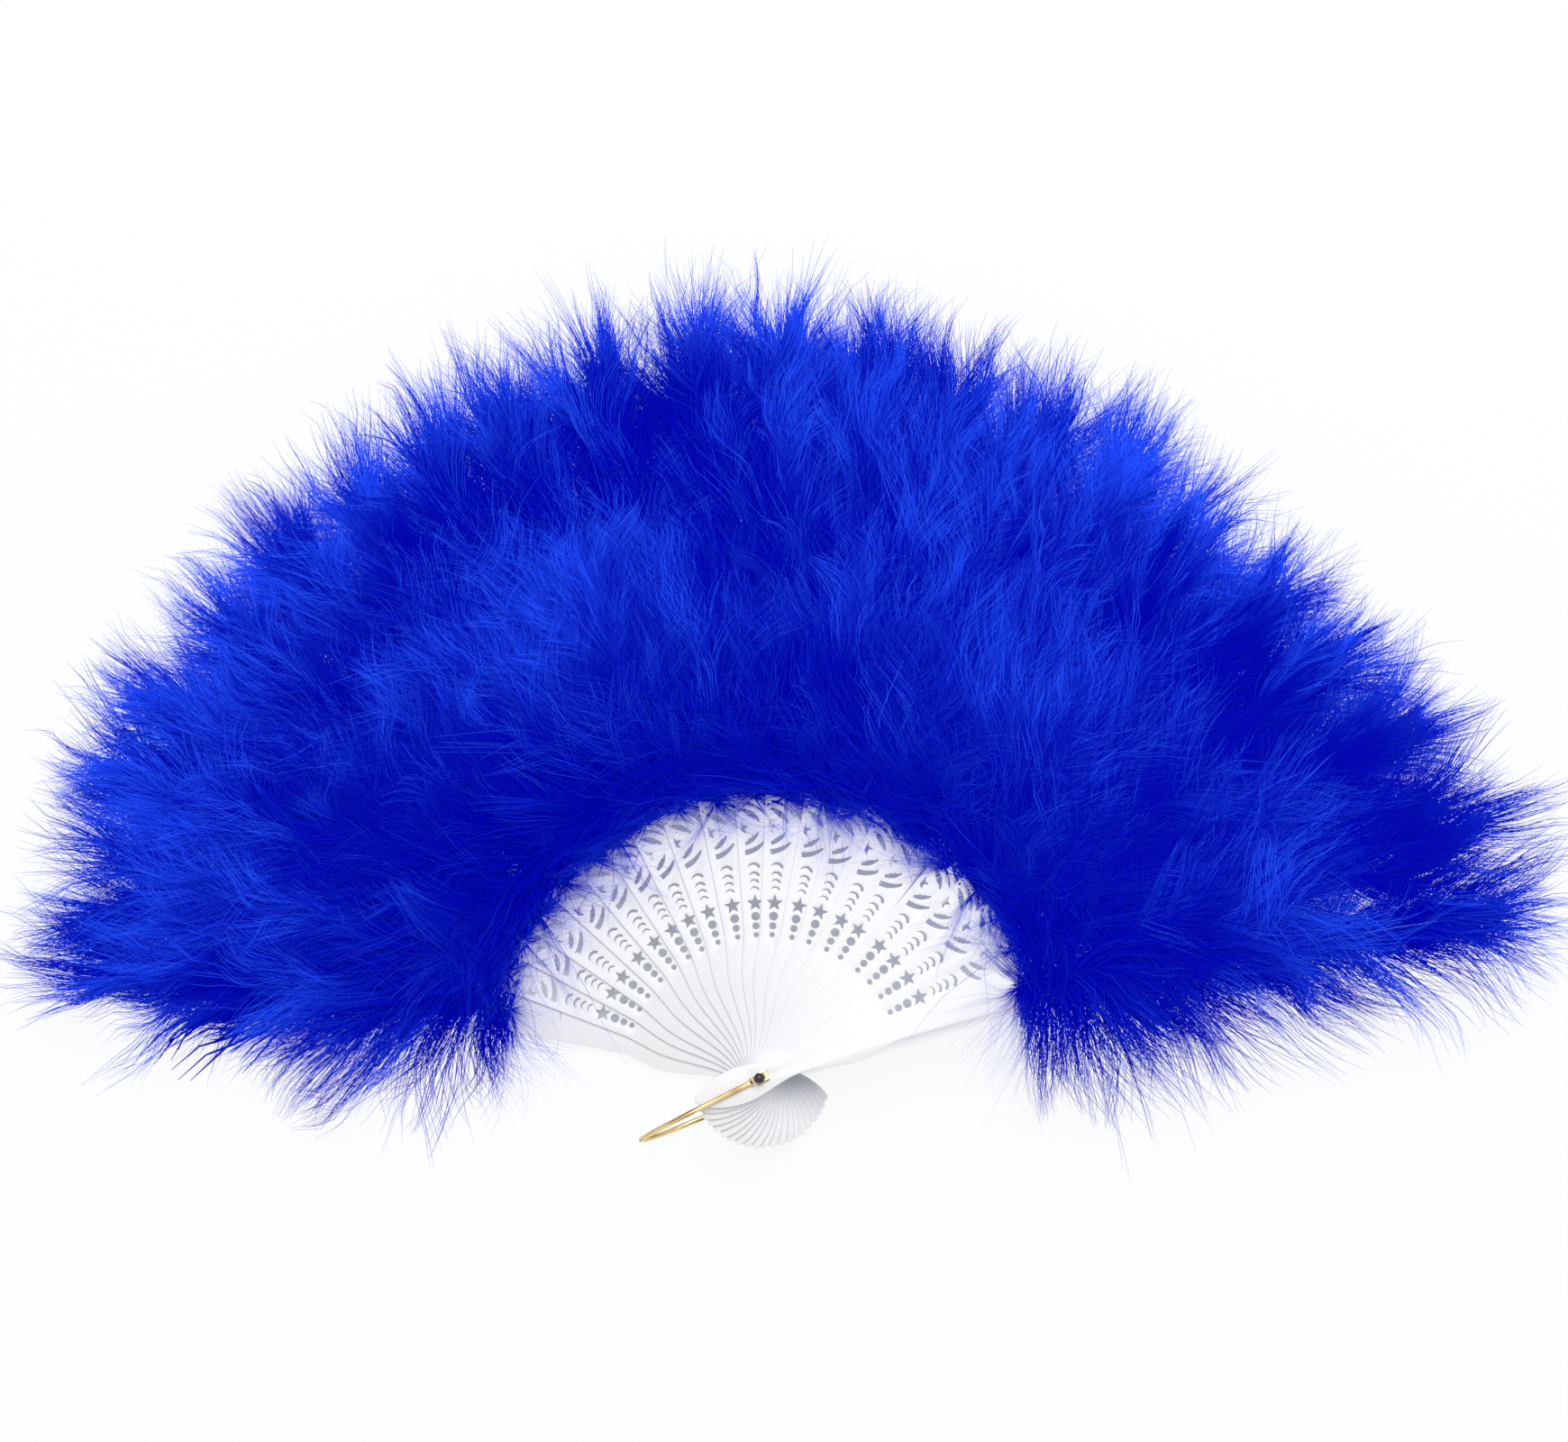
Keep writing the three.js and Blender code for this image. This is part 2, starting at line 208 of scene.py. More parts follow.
def make_table():
    corners = [(-1, -1), (1, -1), (1, 1), (-1, 1)]
    mesh = bpy.data.meshes.new("table_top")
    mesh.from_pydata([(x * floor_half, y * floor_half, floor_height) for x, y in corners], [], [(0, 1, 2, 3)])
    table = add_object("table_top", mesh)
    material, shader, wire = new_material("table_white_painted_bounce")
    feed(shader, {"Base Color": (*table_white_painted_bounce, 1), "Roughness": table_roughness, "Specular IOR Level": 0})
    glow = wire.node("ShaderNodeEmission", values={"Color": (1, 1, 1, 1), "Strength": 1})
    lit = Wire(wire.tree, shader.outputs[0])
    place = wire.node("ShaderNodeTexCoord").out("Object")
    away = wire.vector_math("DISTANCE", place, shade_middle, output=1)
    x, y, _ = place.parts()
    above_guards = y - wire.math("ABSOLUTE", x) * shade_slope
    # Painted shade: the glow is lowered in a patch set by place under the fan, not by what blocks the light
    outside = away.mapped((shade_reach, shade_edge), (shaded_glow, table_glow), "SMOOTHSTEP")
    below = above_guards.mapped((shade_start, shade_full), (table_glow, shaded_glow), "SMOOTHSTEP")
    glow_share = background_rays(wire) * outside.at_least(below)
    mixed = wire.node("ShaderNodeMixShader", values={0: glow_share, 1: lit, 2: glow})
    feed(material.node_tree.nodes["Material Output"], {"Surface": mixed})
    mesh.materials.append(material)


def make_surround():
    world = bpy.data.worlds.new("surround")
    world.use_nodes = True
    bpy.context.scene.world = world
    wire = Wire(world.node_tree)
    strength = surround_strength + background_rays(wire) * (1 - surround_strength)
    backdrop = world.node_tree.nodes["Background"]
    feed(backdrop, {"Color": (1, 1, 1, 1), "Strength": strength})


def make_lamp():
    data = bpy.data.lights.new("soft_lamp", "AREA")
    data.energy, data.size = lamp_power, lamp_size
    lamp = add_object("soft_lamp", data)
    lamp.location = lamp_place
    lamp.rotation_euler = (lamp_target - lamp_place).to_track_quat("-Z", "Y").to_euler()


make_table()
make_surround()
make_lamp()
bpy.context.scene.view_settings.view_transform = "Standard"

# Sticks and guards: injection moulded white plastic, held together by the rivet alone. Nineteen thin
# sticks are pierced with dots, a star, moons and half a medallion, and the two outer guards are plain.
white, bright_white = (0.86, 0.865, 0.885), (0.9, 0.905, 0.92)
plastic_gloss, plastic_roughness, grain_roughness = 0.3, 0.3, 0.16
mould_ripple, mould_grain = {"scale": 160, "detail": 2}, {"scale": 2400, "detail": 3}
grain_height, mould_bump, mould_bump_depth = 0.25, 0.12, 0.2 * MM
edge_rounding, edge_segments, edge_angle, smooth_angle = 0.15, 2, math.radians(50), math.radians(40)
tail_length, tail_widest_at, neck_at, neck_half_width = 22, -6.4, 12.6, 2.7
stick_profile = {"tail": 5.5, "belly_at": 34.5, "belly": 5, "waist_at": 47.5, "waist": 4.05, "end": 5.6}
guard_profile = {"tail": 5.8, "belly_at": 33.2, "belly": 5.5, "waist_at": 46.6, "waist": 3.6, "end": 6.25}
guard_end_at, guard_end_rise, guard_corner = 86, 0.7, 1.5
pin_hole_radius = 1.05
dots = [(46.7, 0.83), (49.6, 1.13), (52.75, 1.39)]
star_at, star_radius, star_waist_share, star_points = 57.1, 2.8, 0.42, 5
moons = [(62.6, 3.0, 0.5), (65.0, 3.2, 0.6), (67.5, 3.7, 0.75), (70.5, 4.25, 0.85)]
moon_angles, moon_end_share, moon_swell_share = (165, 12), 0.02, 0.4
medallion_at, medallion_radius, medallion_border, medallion_rim, medallion_rim_start = 82, 9.1, 1.9, 1.5, 12
medallion_slot_shares = [
    {"outer": 1, "angles": (90, 27), "widths": (0.088, 0.017), "swell": 0.055, "waves": 0},
    {"outer": 0.714, "angles": (90, 18), "widths": (0.066, 0.055), "swell": 0.154, "waves": 0.03},
    {"outer": 0.648, "angles": (-78, -17), "widths": (0.121, 0.066), "swell": 0.099, "waves": 0.045},
    {"outer": 1, "angles": (-83, -32), "widths": (0.187, 0.066), "swell": 0.033, "waves": 0},
]
slot_waves = 3
half_star_radius = 2.4
stitch_radius, stitch_inset, stitch_drop, stitch_sides = 0.45, 1.05, 2.9, 12
round_steps, corner_steps, weld_distance = 20, 6, 0.001
medallion_x = medallion_border - stick_profile["end"]
end_arc_radius = medallion_radius + medallion_rim


def points_of(node):
    return np.array([tuple(v.co) for v in frame["nodes"][node].data.vertices])


def direction_of(node):
    """Angle of a node about the rivet, from the middle of its corners."""
    middle = points_of(node).mean(axis=0)
    return math.atan2(middle[1], middle[0])


back_direction = direction_of("back_guard")
front_direction = direction_of("front_guard")
blade_directions = {"back_guard": back_direction, "front_guard": front_direction}
for coupling in frame["record"]["behaviour"]["couplings"]:
    blade = coupling["joint"].removesuffix("_fold")
    blade_directions[blade] = back_direction + (front_direction - back_direction) * coupling["ratio"]
blades = ["back_guard", *sorted(name for name in blade_directions if name.startswith("stick")), "front_guard"]


def new_tree(name, sizes):
    """A geometry node tree with one named input for each size, and the wire of its group input."""
    tree = bpy.data.node_groups.new(name, "GeometryNodeTree")
    tree.interface.new_socket("Geometry", in_out="INPUT", socket_type="NodeSocketGeometry")
    for size, value in sizes.items():
        kind = {int: "NodeSocketInt", float: "NodeSocketFloat", tuple: "NodeSocketVector"}[type(value)]
        tree.interface.new_socket(size, in_out="INPUT", socket_type=kind).default_value = value
    tree.interface.new_socket("Geometry", in_out="OUTPUT", socket_type="NodeSocketGeometry")
    return tree, Wire(tree).node("NodeGroupInput")


def captured(geometry, value, kind, domain):
    """The geometry with a value kept on it, and that value as a wire."""
    keeper = geometry.tree.nodes.new("GeometryNodeCaptureAttribute")
    keeper.domain = domain
    keeper.capture_items.new(kind, "kept")
    geometry.tree.links.new(geometry.socket, keeper.inputs[0])
    geometry.tree.links.new(value.socket, keeper.inputs[1])
    return Wire(geometry.tree, keeper.outputs[0]), Wire(geometry.tree, keeper.outputs[1])


def turned_out(wire, geometry, given):
    """Geometry made in millimetres with +Y along a stick, put at its seat and turned, in metres."""
    turn = wire.point(z=given.out("Direction") - math.pi / 2)
    seat = wire.node("ShaderNodeVectorMath", {"operation": "SCALE"}, {0: given.out("Seat"), "Scale": MM})
    return wire.node("GeometryNodeTransform", values={
        0: geometry, "Rotation": wire.node("FunctionNodeEulerToRotation", values={0: turn}),
        "Translation": seat, "Scale": (MM, MM, MM),
    })


def finish_tree(wire, geometry, material):
    """Ends a tree: real meshes instead of instances, in one material."""
    real = wire.node("GeometryNodeRealizeInstances", values={0: geometry})
    done = wire.node("GeometryNodeSetMaterial", values={0: real, "Material": material})
    wire.node("NodeGroupOutput", values={0: done})


def grown(name, tree, sizes, loops=()):
    """The plain mesh object that a tree gives for these sizes, and for closed loops of flat points if any."""
    base = bpy.data.meshes.new(name + "_source")
    starts = np.cumsum([0] + [len(loop) for loop in loops])
    edges = [(s + i, s + (i + 1) % len(loop)) for s, loop in zip(starts, loops) for i in range(len(loop))]
    base.from_pydata([(x, y, 0) for loop in loops for x, y in loop], edges, [])
    source = add_object(name + "_source", base)
    modifier = source.modifiers.new("nodes", "NODES")
    modifier.node_group = tree
    for item in tree.interface.items_tree:
        if item.in_out == "INPUT" and item.name in sizes:
            modifier[item.identifier] = sizes[item.name]
    evaluated = source.evaluated_get(bpy.context.evaluated_depsgraph_get())
    mesh = bpy.data.meshes.new_from_object(evaluated)
    mesh.name = name
    source.modifiers.remove(modifier)
    bpy.data.objects.remove(source)
    return add_object(name, mesh)


def surface_noise(place, scale, detail):
    return place.node("ShaderNodeTexNoise", values={"Vector": place, "Scale": scale, "Detail": detail})


def white_plastic_material():
    """Glossy white moulding, a little milky, with the faint ripple and specks of a cheap mould."""
    material, shader, wire = new_material("moulded_white")
    place = wire.node("ShaderNodeTexCoord").out("Object")
    ripple, grain = surface_noise(place, **mould_ripple), surface_noise(place, **mould_grain)
    bump = wire.node("ShaderNodeBump", values={
        "Height": ripple + grain * grain_height, "Strength": mould_bump, "Distance": mould_bump_depth,
    })
    feed(shader, {
        "Base Color": ripple.between(white, bright_white), "Normal": bump,
        "Roughness": plastic_roughness + grain * grain_roughness, "Specular IOR Level": plastic_gloss,
    })
    return material


def eased(low, high, share):
    return low + (high - low) * share * share * (3 - 2 * share)


def blade_side(profile):
    """Right side of a blade from its tail tip: half width and height, in millimetres."""
    tail_steps, ease_steps, blunt_share, tail_power = 14, 9, 0.002, 0.62
    side = []
    for i in range(tail_steps):
        share = blunt_share + (1 - blunt_share) * (i / tail_steps) ** 2
        width = profile["tail"] * math.sin(share * math.pi / 2) ** tail_power
        side.append((width, -tail_length + (tail_widest_at + tail_length) * share))
    stations = [
        (profile["tail"], tail_widest_at), (neck_half_width, neck_at),
        (profile["belly"], profile["belly_at"]), (profile["waist"], profile["waist_at"]),
    ]
    for (x0, y0), (x1, y1) in zip(stations, stations[1:]):
        side += [(eased(x0, x1, i / ease_steps), y0 + (y1 - y0) * i / ease_steps) for i in range(ease_steps)]
    return side + [stations[-1]]


def blade_outline(profile, end):
    side = blade_side(profile)
    return side + end + [(-x, y) for x, y in reversed(side)]


def arc(x, y, radius, start, end, steps):
    angles = np.linspace(start, end, steps + 1)
    return [(x + radius * math.cos(a), y + radius * math.sin(a)) for a in angles]


def stick_end():
    finish = math.acos((-stick_profile["end"] - medallion_x) / end_arc_radius)
    start = math.radians(medallion_rim_start)
    return arc(medallion_x, medallion_at, end_arc_radius, start, finish, round_steps)


def guard_end():
    corner_x = guard_profile["end"] - guard_corner
    right = arc(corner_x, guard_end_at - guard_corner, guard_corner, 0, math.pi / 2, corner_steps)
    return right + [(0, guard_end_at + guard_end_rise)] + [(-x, y) for x, y in reversed(right)]


def half_star():
    """The star in the medallion, cut flat where the border runs, so that only its right half is left."""
    waist = half_star_radius * star_waist_share
    points = [(0, half_star_radius), (0, -waist)]
    for i in range(star_points + 1, 2 * star_points):
        reach = half_star_radius if i % 2 == 0 else waist
        angle = math.radians(90 + 180 / star_points * i)
        points.append((reach * math.cos(angle), reach * math.sin(angle)))
    return [(medallion_x + x, medallion_at + y) for x, y in points]


def moved(wire, geometry, place):
    return wire.node("GeometryNodeTransform", values={0: geometry, "Translation": place})


def hole(wire, x, y, radius, sides=24):
    ring = wire.node("GeometryNodeCurvePrimitiveCircle", values={"Resolution": sides, "Radius": radius})
    return moved(wire, ring, (x, y, 0))


def star_hole(wire, y, radius):
    points = wire.node("GeometryNodeCurveStar", values={
        "Points": star_points, "Inner Radius": radius * star_waist_share, "Outer Radius": radius,
    })
    return wire.node("GeometryNodeTransform", values={
        0: points, "Translation": (0, y, 0), "Rotation": Euler((0, 0, math.pi / 2)),
    })


def arc_hole(wire, x, y, radius, slot, steps=14):
    """A curved slot: a ring of points, half of them on its outer arc and half on its inner one."""
    ring = wire.node("GeometryNodeCurvePrimitiveCircle", values={"Resolution": 2 * steps})
    index = wire.node("GeometryNodeInputIndex")
    share = index.at_most(2 * steps - 1 - index) / (steps - 1)
    inner = wire.math("GREATER_THAN", index, steps - 0.5)
    start, end = (math.radians(angle) for angle in slot["angles"])
    near, far = slot["widths"]
    angle = start + (end - start) * share
    width = near + (far - near) * share + wire.math("SINE", share * math.pi) * slot["swell"]
    width = width - wire.math("ABSOLUTE", wire.math("SINE", share * slot_waves * math.pi)) * slot["waves"]
    reach = (slot["outer"] - inner * width) * radius
    place = wire.point(x + reach * wire.math("COSINE", angle), y + reach * wire.math("SINE", angle))
    return wire.node("GeometryNodeSetPosition", values={"Geometry": ring, "Position": place})


def moon_hole(wire, at, width, thickness):
    radius = width / (2 * math.sin(math.radians((moon_angles[0] - moon_angles[1]) / 2)))
    share = thickness / radius
    return arc_hole(wire, 0, at - radius, radius, {
        "outer": 1, "angles": moon_angles, "widths": (moon_end_share, share),
        "swell": moon_swell_share * share, "waves": 0,
    })


def stick_holes(wire):
    corner_y = medallion_at + math.sqrt(end_arc_radius ** 2 - medallion_border ** 2)
    holes = [hole(wire, 0, 0, pin_hole_radius)]
    holes += [hole(wire, 0, at, radius) for at, radius in dots]
    holes += [star_hole(wire, star_at, star_radius)]
    holes += [moon_hole(wire, *moon) for moon in moons]
    for slot in medallion_slot_shares:
        holes.append(arc_hole(wire, medallion_x, medallion_at, medallion_radius, slot))
    stitch_x = stitch_inset - stick_profile["end"]
    holes.append(hole(wire, stitch_x, corner_y - stitch_drop, stitch_radius, stitch_sides))
    return holes


def plate(wire, loops, thickness):
    """A flat solid from z = 0 up: its outline is filled up to its holes, and the face is thickened."""
    loops = wire.node("GeometryNodeJoinGeometry", values={0: loops})
    face = wire.node("GeometryNodeFillCurve", {"mode": "NGONS"}, {0: loops})
    raised = wire.node("GeometryNodeExtrudeMesh", {"mode": "FACES"}, {
        0: face, "Offset": (0, 0, 1), "Offset Scale": thickness, "Individual": False,
    })
    bottom = wire.node("GeometryNodeFlipFaces", values={0: face})
    solid = wire.node("GeometryNodeJoinGeometry", values={0: [raised, bottom]})
    return wire.node("GeometryNodeMergeByDistance", values={0: solid, "Distance": weld_distance})


def blade_tree(name, holes_of, material):
    tree, given = new_tree(name, {"Thickness": 1.0, "Seat": (0.0, 0.0, 0.0), "Direction": 0.0})
    wire = Wire(tree)
    outline = wire.node("GeometryNodeMeshToCurve", values={0: given.out("Geometry")})
    solid = plate(wire, [outline, *holes_of(wire)], given.out("Thickness"))
    finish_tree(wire, turned_out(wire, solid, given), material)
    return tree


def rounded_edges(piece, width, segments):
    """The piece with its sharp edges rounded off, and smooth shading over everything but real corners."""
    modifier = piece.modifiers.new("rounding", "BEVEL")
    modifier.width, modifier.segments = width, segments
    modifier.limit_method, modifier.angle_limit = "ANGLE", edge_angle
    modifier.use_clamp_overlap = False
    mesh = bpy.data.meshes.new_from_object(piece.evaluated_get(bpy.context.evaluated_depsgraph_get()))
    piece.modifiers.remove(modifier)
    piece.data = mesh
    mesh.shade_smooth()
    mesh.set_sharp_from_angle(angle=smooth_angle)


moulded_white = white_plastic_material()
stick_nodes = blade_tree("pierced_stick", stick_holes, moulded_white)
guard_nodes = blade_tree("plain_guard", lambda wire: [hole(wire, 0, 0, pin_hole_radius)], moulded_white)
stick_loops = [blade_outline(stick_profile, stick_end()), half_star()]
guard_loops = [blade_outline(guard_profile, guard_end())]
for blade in blades:
    low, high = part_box(blade)
    is_stick = blade.startswith("stick")
    piece = grown("moulded_" + blade, stick_nodes if is_stick else guard_nodes, {
        "Thickness": (high.z - low.z) / MM, "Seat": (0, 0, low.z / MM), "Direction": blade_directions[blade],
    }, stick_loops if is_stick else guard_loops)
    rounded_edges(piece, edge_rounding * MM, edge_segments)
    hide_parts(blade)
    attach(piece, blade)

# Plumes: one on the end of every stick and guard, each of two marabou feathers bound together. A quill is
# glued to the stick's end, and fine dyed barbs leave it on all sides and cling together in curling locks.
# The plumes' glow is painted light, standing in for light that passes through the fine barbs
plume_blue, plume_pale, plume_painted_glow = (0.0, 0.0, 0.41), (0.022, 0.11, 1.0), 0.27
barb_roughness, barb_gloss = 0.7, 0.02
# Strands pale from root to tip: the deep blue at the root is partly dye and partly painted shade deep in the
# fluff
root_paling, tip_paling, paling_rise = 0.02, 1.2, 2.0
lock_paling, lock_rarity, wisp_paling, wisp_rarity, strand_paling = 0.7, 3, 1.2, 4, 0.04
patch_paling, patch_range, patch_scale, patch_radius = (0.0, 2.1), (0.43, 0.58), 0.05, 6.0
root_share, tip_share, rim_start, rim_tone = 0.0, 1.6, 0.75, 0.25
greatest_tone, side_tone = 0.95, 0.05
strands_per_plume, strands_per_lock, strands_per_wisp, strand_points = 8600, 30, 5, 6
strand_width, tip_width, strand_taper = 0.13, 0.02, 0.7
# Down: wide strands low in the fluff, kept at the deepest blue as painted shade in the gaps between locks
down_strands, down_width, down_root_gap, down_tip_gap, down_flatness = 300, 5.0, 0.12, 0.2, 0.85
tip_hair, fork = 34.0, 0.085
draws_per_plume = 100
lock_draws = {
    "station": (0, 1), "leave": (0.3, 0.95), "turn": (-0.5, 0.6), "length": (40, 60),
    "round": (0, 2 * math.pi), "swirl": (-0.7, 0.7), "side": (-1, 1), "fork": (-0.03, 0.03),
    "cling": (0.15, 0.9), "tone": (0, 1),
}
wisp_draws = {
    "station": (-0.06, 0.06), "leave": (-0.2, 0.2), "turn": (-0.25, 0.25), "length": (-0.25, 0.18),
    "round": (-0.5, 0.5), "swirl": (-0.4, 0.4), "tone": (0, 1),
}
strand_draws = {
    "station": (-0.015, 0.015), "leave": (-0.08, 0.08), "turn": (-0.14, 0.14), "length": (-0.35, 0.12),
    "round": (-0.15, 0.15), "swirl": (-0.15, 0.15), "tone": (0, 1),
}
root_leave, leave_easing, root_length, length_easing = 1.05, 0.35, 1.05, 0.3
hanging_leave, hanging_length = 0.75, 0.05
seat_reach, seat_leave, seat_shortening = 8, 1.7, 0.45
tip_loosening, seat_loosening = 0.8, 0.5
lowest_fluff, highest_fluff, half_rise = 0.4, 39.0, 22.0
ripple_scale, ripple_sway, ripple_lift = 0.045, 20.0, 5.0
ripple_step, patch_step, noise_middle = 3.7, 5.3, (0.5, 0.5, 0.5)
fuzz_start, fuzz_reach, fuzz_thinning, fuzz_tone = 2.0, 7.0, 0.8, 0.6
loose_from, loose_lengthening, loose_widening = 0.988, 0.9, 2.0
quill_blue, quill_pale = (0.05, 0.11, 0.72), (0.16, 0.27, 0.9)
quill_streaks, quill_roughness, streak_roughness = {"scale": 900, "detail": 2}, 0.3, 0.2
quill_foot, quill_tip, quill_taper, quill_points, quill_sides = 0.42, 0.1, 1.5, 12, 10
end_slack = 0.2


def straight_curve(wire, points):
    line = wire.node("GeometryNodeCurvePrimitiveLine")
    return wire.node("GeometryNodeResampleCurve", values={"Curve": line, "Count": points})


def share_along(wire):
    return wire.node("GeometryNodeSplineParameter").out("Factor")


def numbered_copies(wire, curve, amount):
    """Copies of a curve, and each copy's number as a wire."""
    copies = wire.node("GeometryNodeDuplicateElements", {"domain": "SPLINE"}, {
        "Geometry": curve, "Amount": amount,
    })
    return captured(copies, copies.out("Duplicate Index"), "INT", "CURVE")


def marabou_material():
    """Dyed down: deep royal blue at the quill, partly as painted shade deep in the fluff, paler towards the
    tips, and each strand of its own tone; it glows in its own colour as painted light.
    """
    material, shader, wire = new_material("marabou_blue")
    tone, along, _ = wire.node("ShaderNodeUVMap", {"uv_map": "barb"}).parts()
    # Darker towards the quill, partly as painted shade deep in the fluff
    paleness = tone * (root_paling + along ** paling_rise * (tip_paling - root_paling))
    colour = paleness.at_most(1).between(plume_blue, plume_pale)
    feed(shader, {
        # Painted light: each strand glows in its own colour
        "Base Color": colour, "Emission Color": colour, "Emission Strength": plume_painted_glow,
        "Roughness": barb_roughness, "Specular IOR Level": barb_gloss,
    })
    return material


def plume_tree(material):
    """Strands that leave a forked quill in locks, lie between the table and a height limit, and curl."""
    tree, given = new_tree("marabou_plume", {
        "Seat": (0.0, 92.0, 14.0), "Length": 170.0, "Rise": 0.0, "Roll": 0.0, "Direction": 0.0,
        "Outer side": 0.0, "Strands": strands_per_plume, "Seed": 0,
    })
    wire = Wire(tree)
    quill_length = given.out("Length") - tip_hair
    rise, roll, outer = map(given.out, ("Rise", "Roll", "Outer side"))
    seat_height = given.out("Seat").parts()[2]

    curve = straight_curve(wire, strand_points)
    strands, strand_number = numbered_copies(wire, curve, given.out("Strands"))
    strands, t = captured(strands, share_along(wire), "FLOAT", "POINT")
    lock_number = wire.math("FLOOR", strand_number / strands_per_lock)
    down = wire.math("LESS_THAN", strand_number, down_strands)

    def drawn(draws, number, seed):
        return {name: wire.node("FunctionNodeRandomValue", {"data_type": "FLOAT"}, {
            2: low, 3: high, "ID": number, "Seed": given.out("Seed") * draws_per_plume + seed + i,
        }, output=1) for i, (name, (low, high)) in enumerate(draws.items())}

    def own_noise(place, step, scale, output=0):
        """Noise that each plume has for itself, because its seed moves it on in a fourth direction."""
        return wire.node("ShaderNodeTexNoise", {"noise_dimensions": "4D"}, {
            "Vector": place, "W": given.out("Seed") * step, "Scale": scale, "Detail": 1.0,
        }, output)

    lock = drawn(lock_draws, lock_number, 0)
    wisp = drawn(wisp_draws, wire.math("FLOOR", strand_number / strands_per_wisp), len(lock_draws))
    strand = drawn(strand_draws, strand_number, len(lock_draws) + len(wisp_draws))
    stray = {name: wisp[name] + strand[name] for name in strand}
    lock_fork = fork * wire.math("SIGN", lock["side"]) + lock["fork"]
    loose = wire.math("GREATER_THAN", strand["tone"], loose_from) * (1 - wire.math("ABSOLUTE", outer))

    def path(jitter):
        """A point at t on an arc that leaves the quill and turns round it, and how near the seat it starts.

        With jitter 1 the arc is the strand's own, and with 0 it is the middle of its lock.
        """
        station = lock["station"] + jitter * stray["station"]
        station = station.at_most(1 - down_tip_gap * down).at_least(down_root_gap * down)
        round_quill = lock["round"] + jitter * stray["round"]
        hanging = (wire.math("COSINE", round_quill) * outer).at_least(0) * (1 - station) * (1 - down)
        at_seat = (1 - station * seat_reach).at_least(0)
        leave_share = root_leave - leave_easing * station + seat_leave * at_seat
        leave = lock["leave"] * leave_share + hanging ** 2 * hanging_leave + jitter * stray["leave"]
        turn = lock["turn"] + jitter * stray["turn"]
        length_share = root_length - length_easing * station + hanging_length * hanging
        length = lock["length"] * (length_share - seat_shortening * at_seat) * (1 + jitter * stray["length"])
        length = length * (1 + loose * at_seat * loose_lengthening)
        angle = leave + turn * t
        ahead = length * (wire.math("SINE", angle) - wire.math("SINE", leave)) / turn
        aside = length * (wire.math("COSINE", leave) - wire.math("COSINE", angle)) / turn
        round_quill = round_quill + (lock["swirl"] + jitter * stray["swirl"]) * t
        along = quill_length * station
        x = aside * wire.math("COSINE", round_quill) + along * lock_fork
        up = aside * wire.math("SINE", round_quill) - x * roll
        height = seat_height + rise * station
        bent = up / (wire.math("ABSOLUTE", up) + half_rise)
        above = bent.at_least(0) * (highest_fluff - height) * (1 - down_flatness * down)
        below = bent.at_most(0) * (height - lowest_fluff)
        return x, along + ahead, rise * station + above + below, at_seat

    *own, at_seat = path(1)
    *shared, _ = path(0)
    cling = lock["cling"] * (1 - tip_loosening * lock["station"]) * (1 - seat_loosening * at_seat) * t * t
    x, y, z = (a + (b - a) * cling for a, b in zip(own, shared))
    place = wire.point(x, y, z)
    ripple = wire.vector_math("SUBTRACT", own_noise(place, ripple_step, ripple_scale, 1), noise_middle)
    sway = wire.point(t * ripple_sway, t * ripple_sway, t * ripple_lift)
    ripple = wire.vector_math("MULTIPLY", ripple, sway)
    strands = wire.node("GeometryNodeSetPosition", values={
        "Geometry": strands, "Position": place, "Offset": ripple,
    })
    section = wire.node("GeometryNodeCurvePrimitiveLine", values={"Start": (-1, 0, 0), "End": (1, 0, 0)})
    section, side = captured(section, share_along(wire), "FLOAT", "POINT")
    width = (tip_width + strand_width * (1 - t) ** strand_taper) * (1 + (down_width - 1) * down)
    fuzz = y.mapped((fuzz_start, fuzz_start - fuzz_reach))
    width = width * (1 - fuzz_thinning * fuzz) * (1 + loose * at_seat * loose_widening)
    barbs = wire.node("GeometryNodeCurveToMesh", values={
        "Curve": strands, "Profile Curve": section, "Scale": width,
    })

    # Tones: few locks and wisps are pale, in patches, and paler near the plume's rim than at its seat
    root = wire.point(lock["round"] * patch_radius, lock["station"] * quill_length)
    patch = own_noise(root, patch_step, patch_scale).mapped(patch_range, patch_paling, "SMOOTHSTEP")
    tone = lock["tone"] ** lock_rarity * lock_paling + wisp["tone"] ** wisp_rarity * wisp_paling
    tone = tone + strand["tone"] * strand_paling
    reached = y / given.out("Length")
    tone = tone * reached.mapped((0.0, 1.0), (root_share, tip_share))
    rim = reached.mapped((rim_start, 1.0), (0.0, rim_tone), "SMOOTHSTEP")
    # Down strands get no paling, so that they show as painted shade between the locks
    tone = ((tone * patch + fuzz * fuzz_tone + rim) * (1 - down)).at_most(greatest_tone) + side * side_tone
    barb = wire.point(tone, t)
    for uv_name in ("barb", "OFBake"):
        barbs = wire.node("GeometryNodeStoreNamedAttribute", {"data_type": "FLOAT2", "domain": "CORNER"}, {
            "Geometry": barbs, "Name": uv_name, "Value": barb,
        })
    finish_tree(wire, turned_out(wire, barbs, given), material)
    return tree


def quill_material():
    """A dyed quill: horn that took the dye thinly, with fine lengthwise streaks."""
    material, shader, wire = new_material("dyed_quill")
    streaks = surface_noise(wire.node("ShaderNodeTexCoord").out("Object"), **quill_streaks)
    feed(shader, {
        "Base Color": streaks.between(quill_blue, quill_pale),
        "Roughness": quill_roughness + streaks * streak_roughness,
    })
    return material


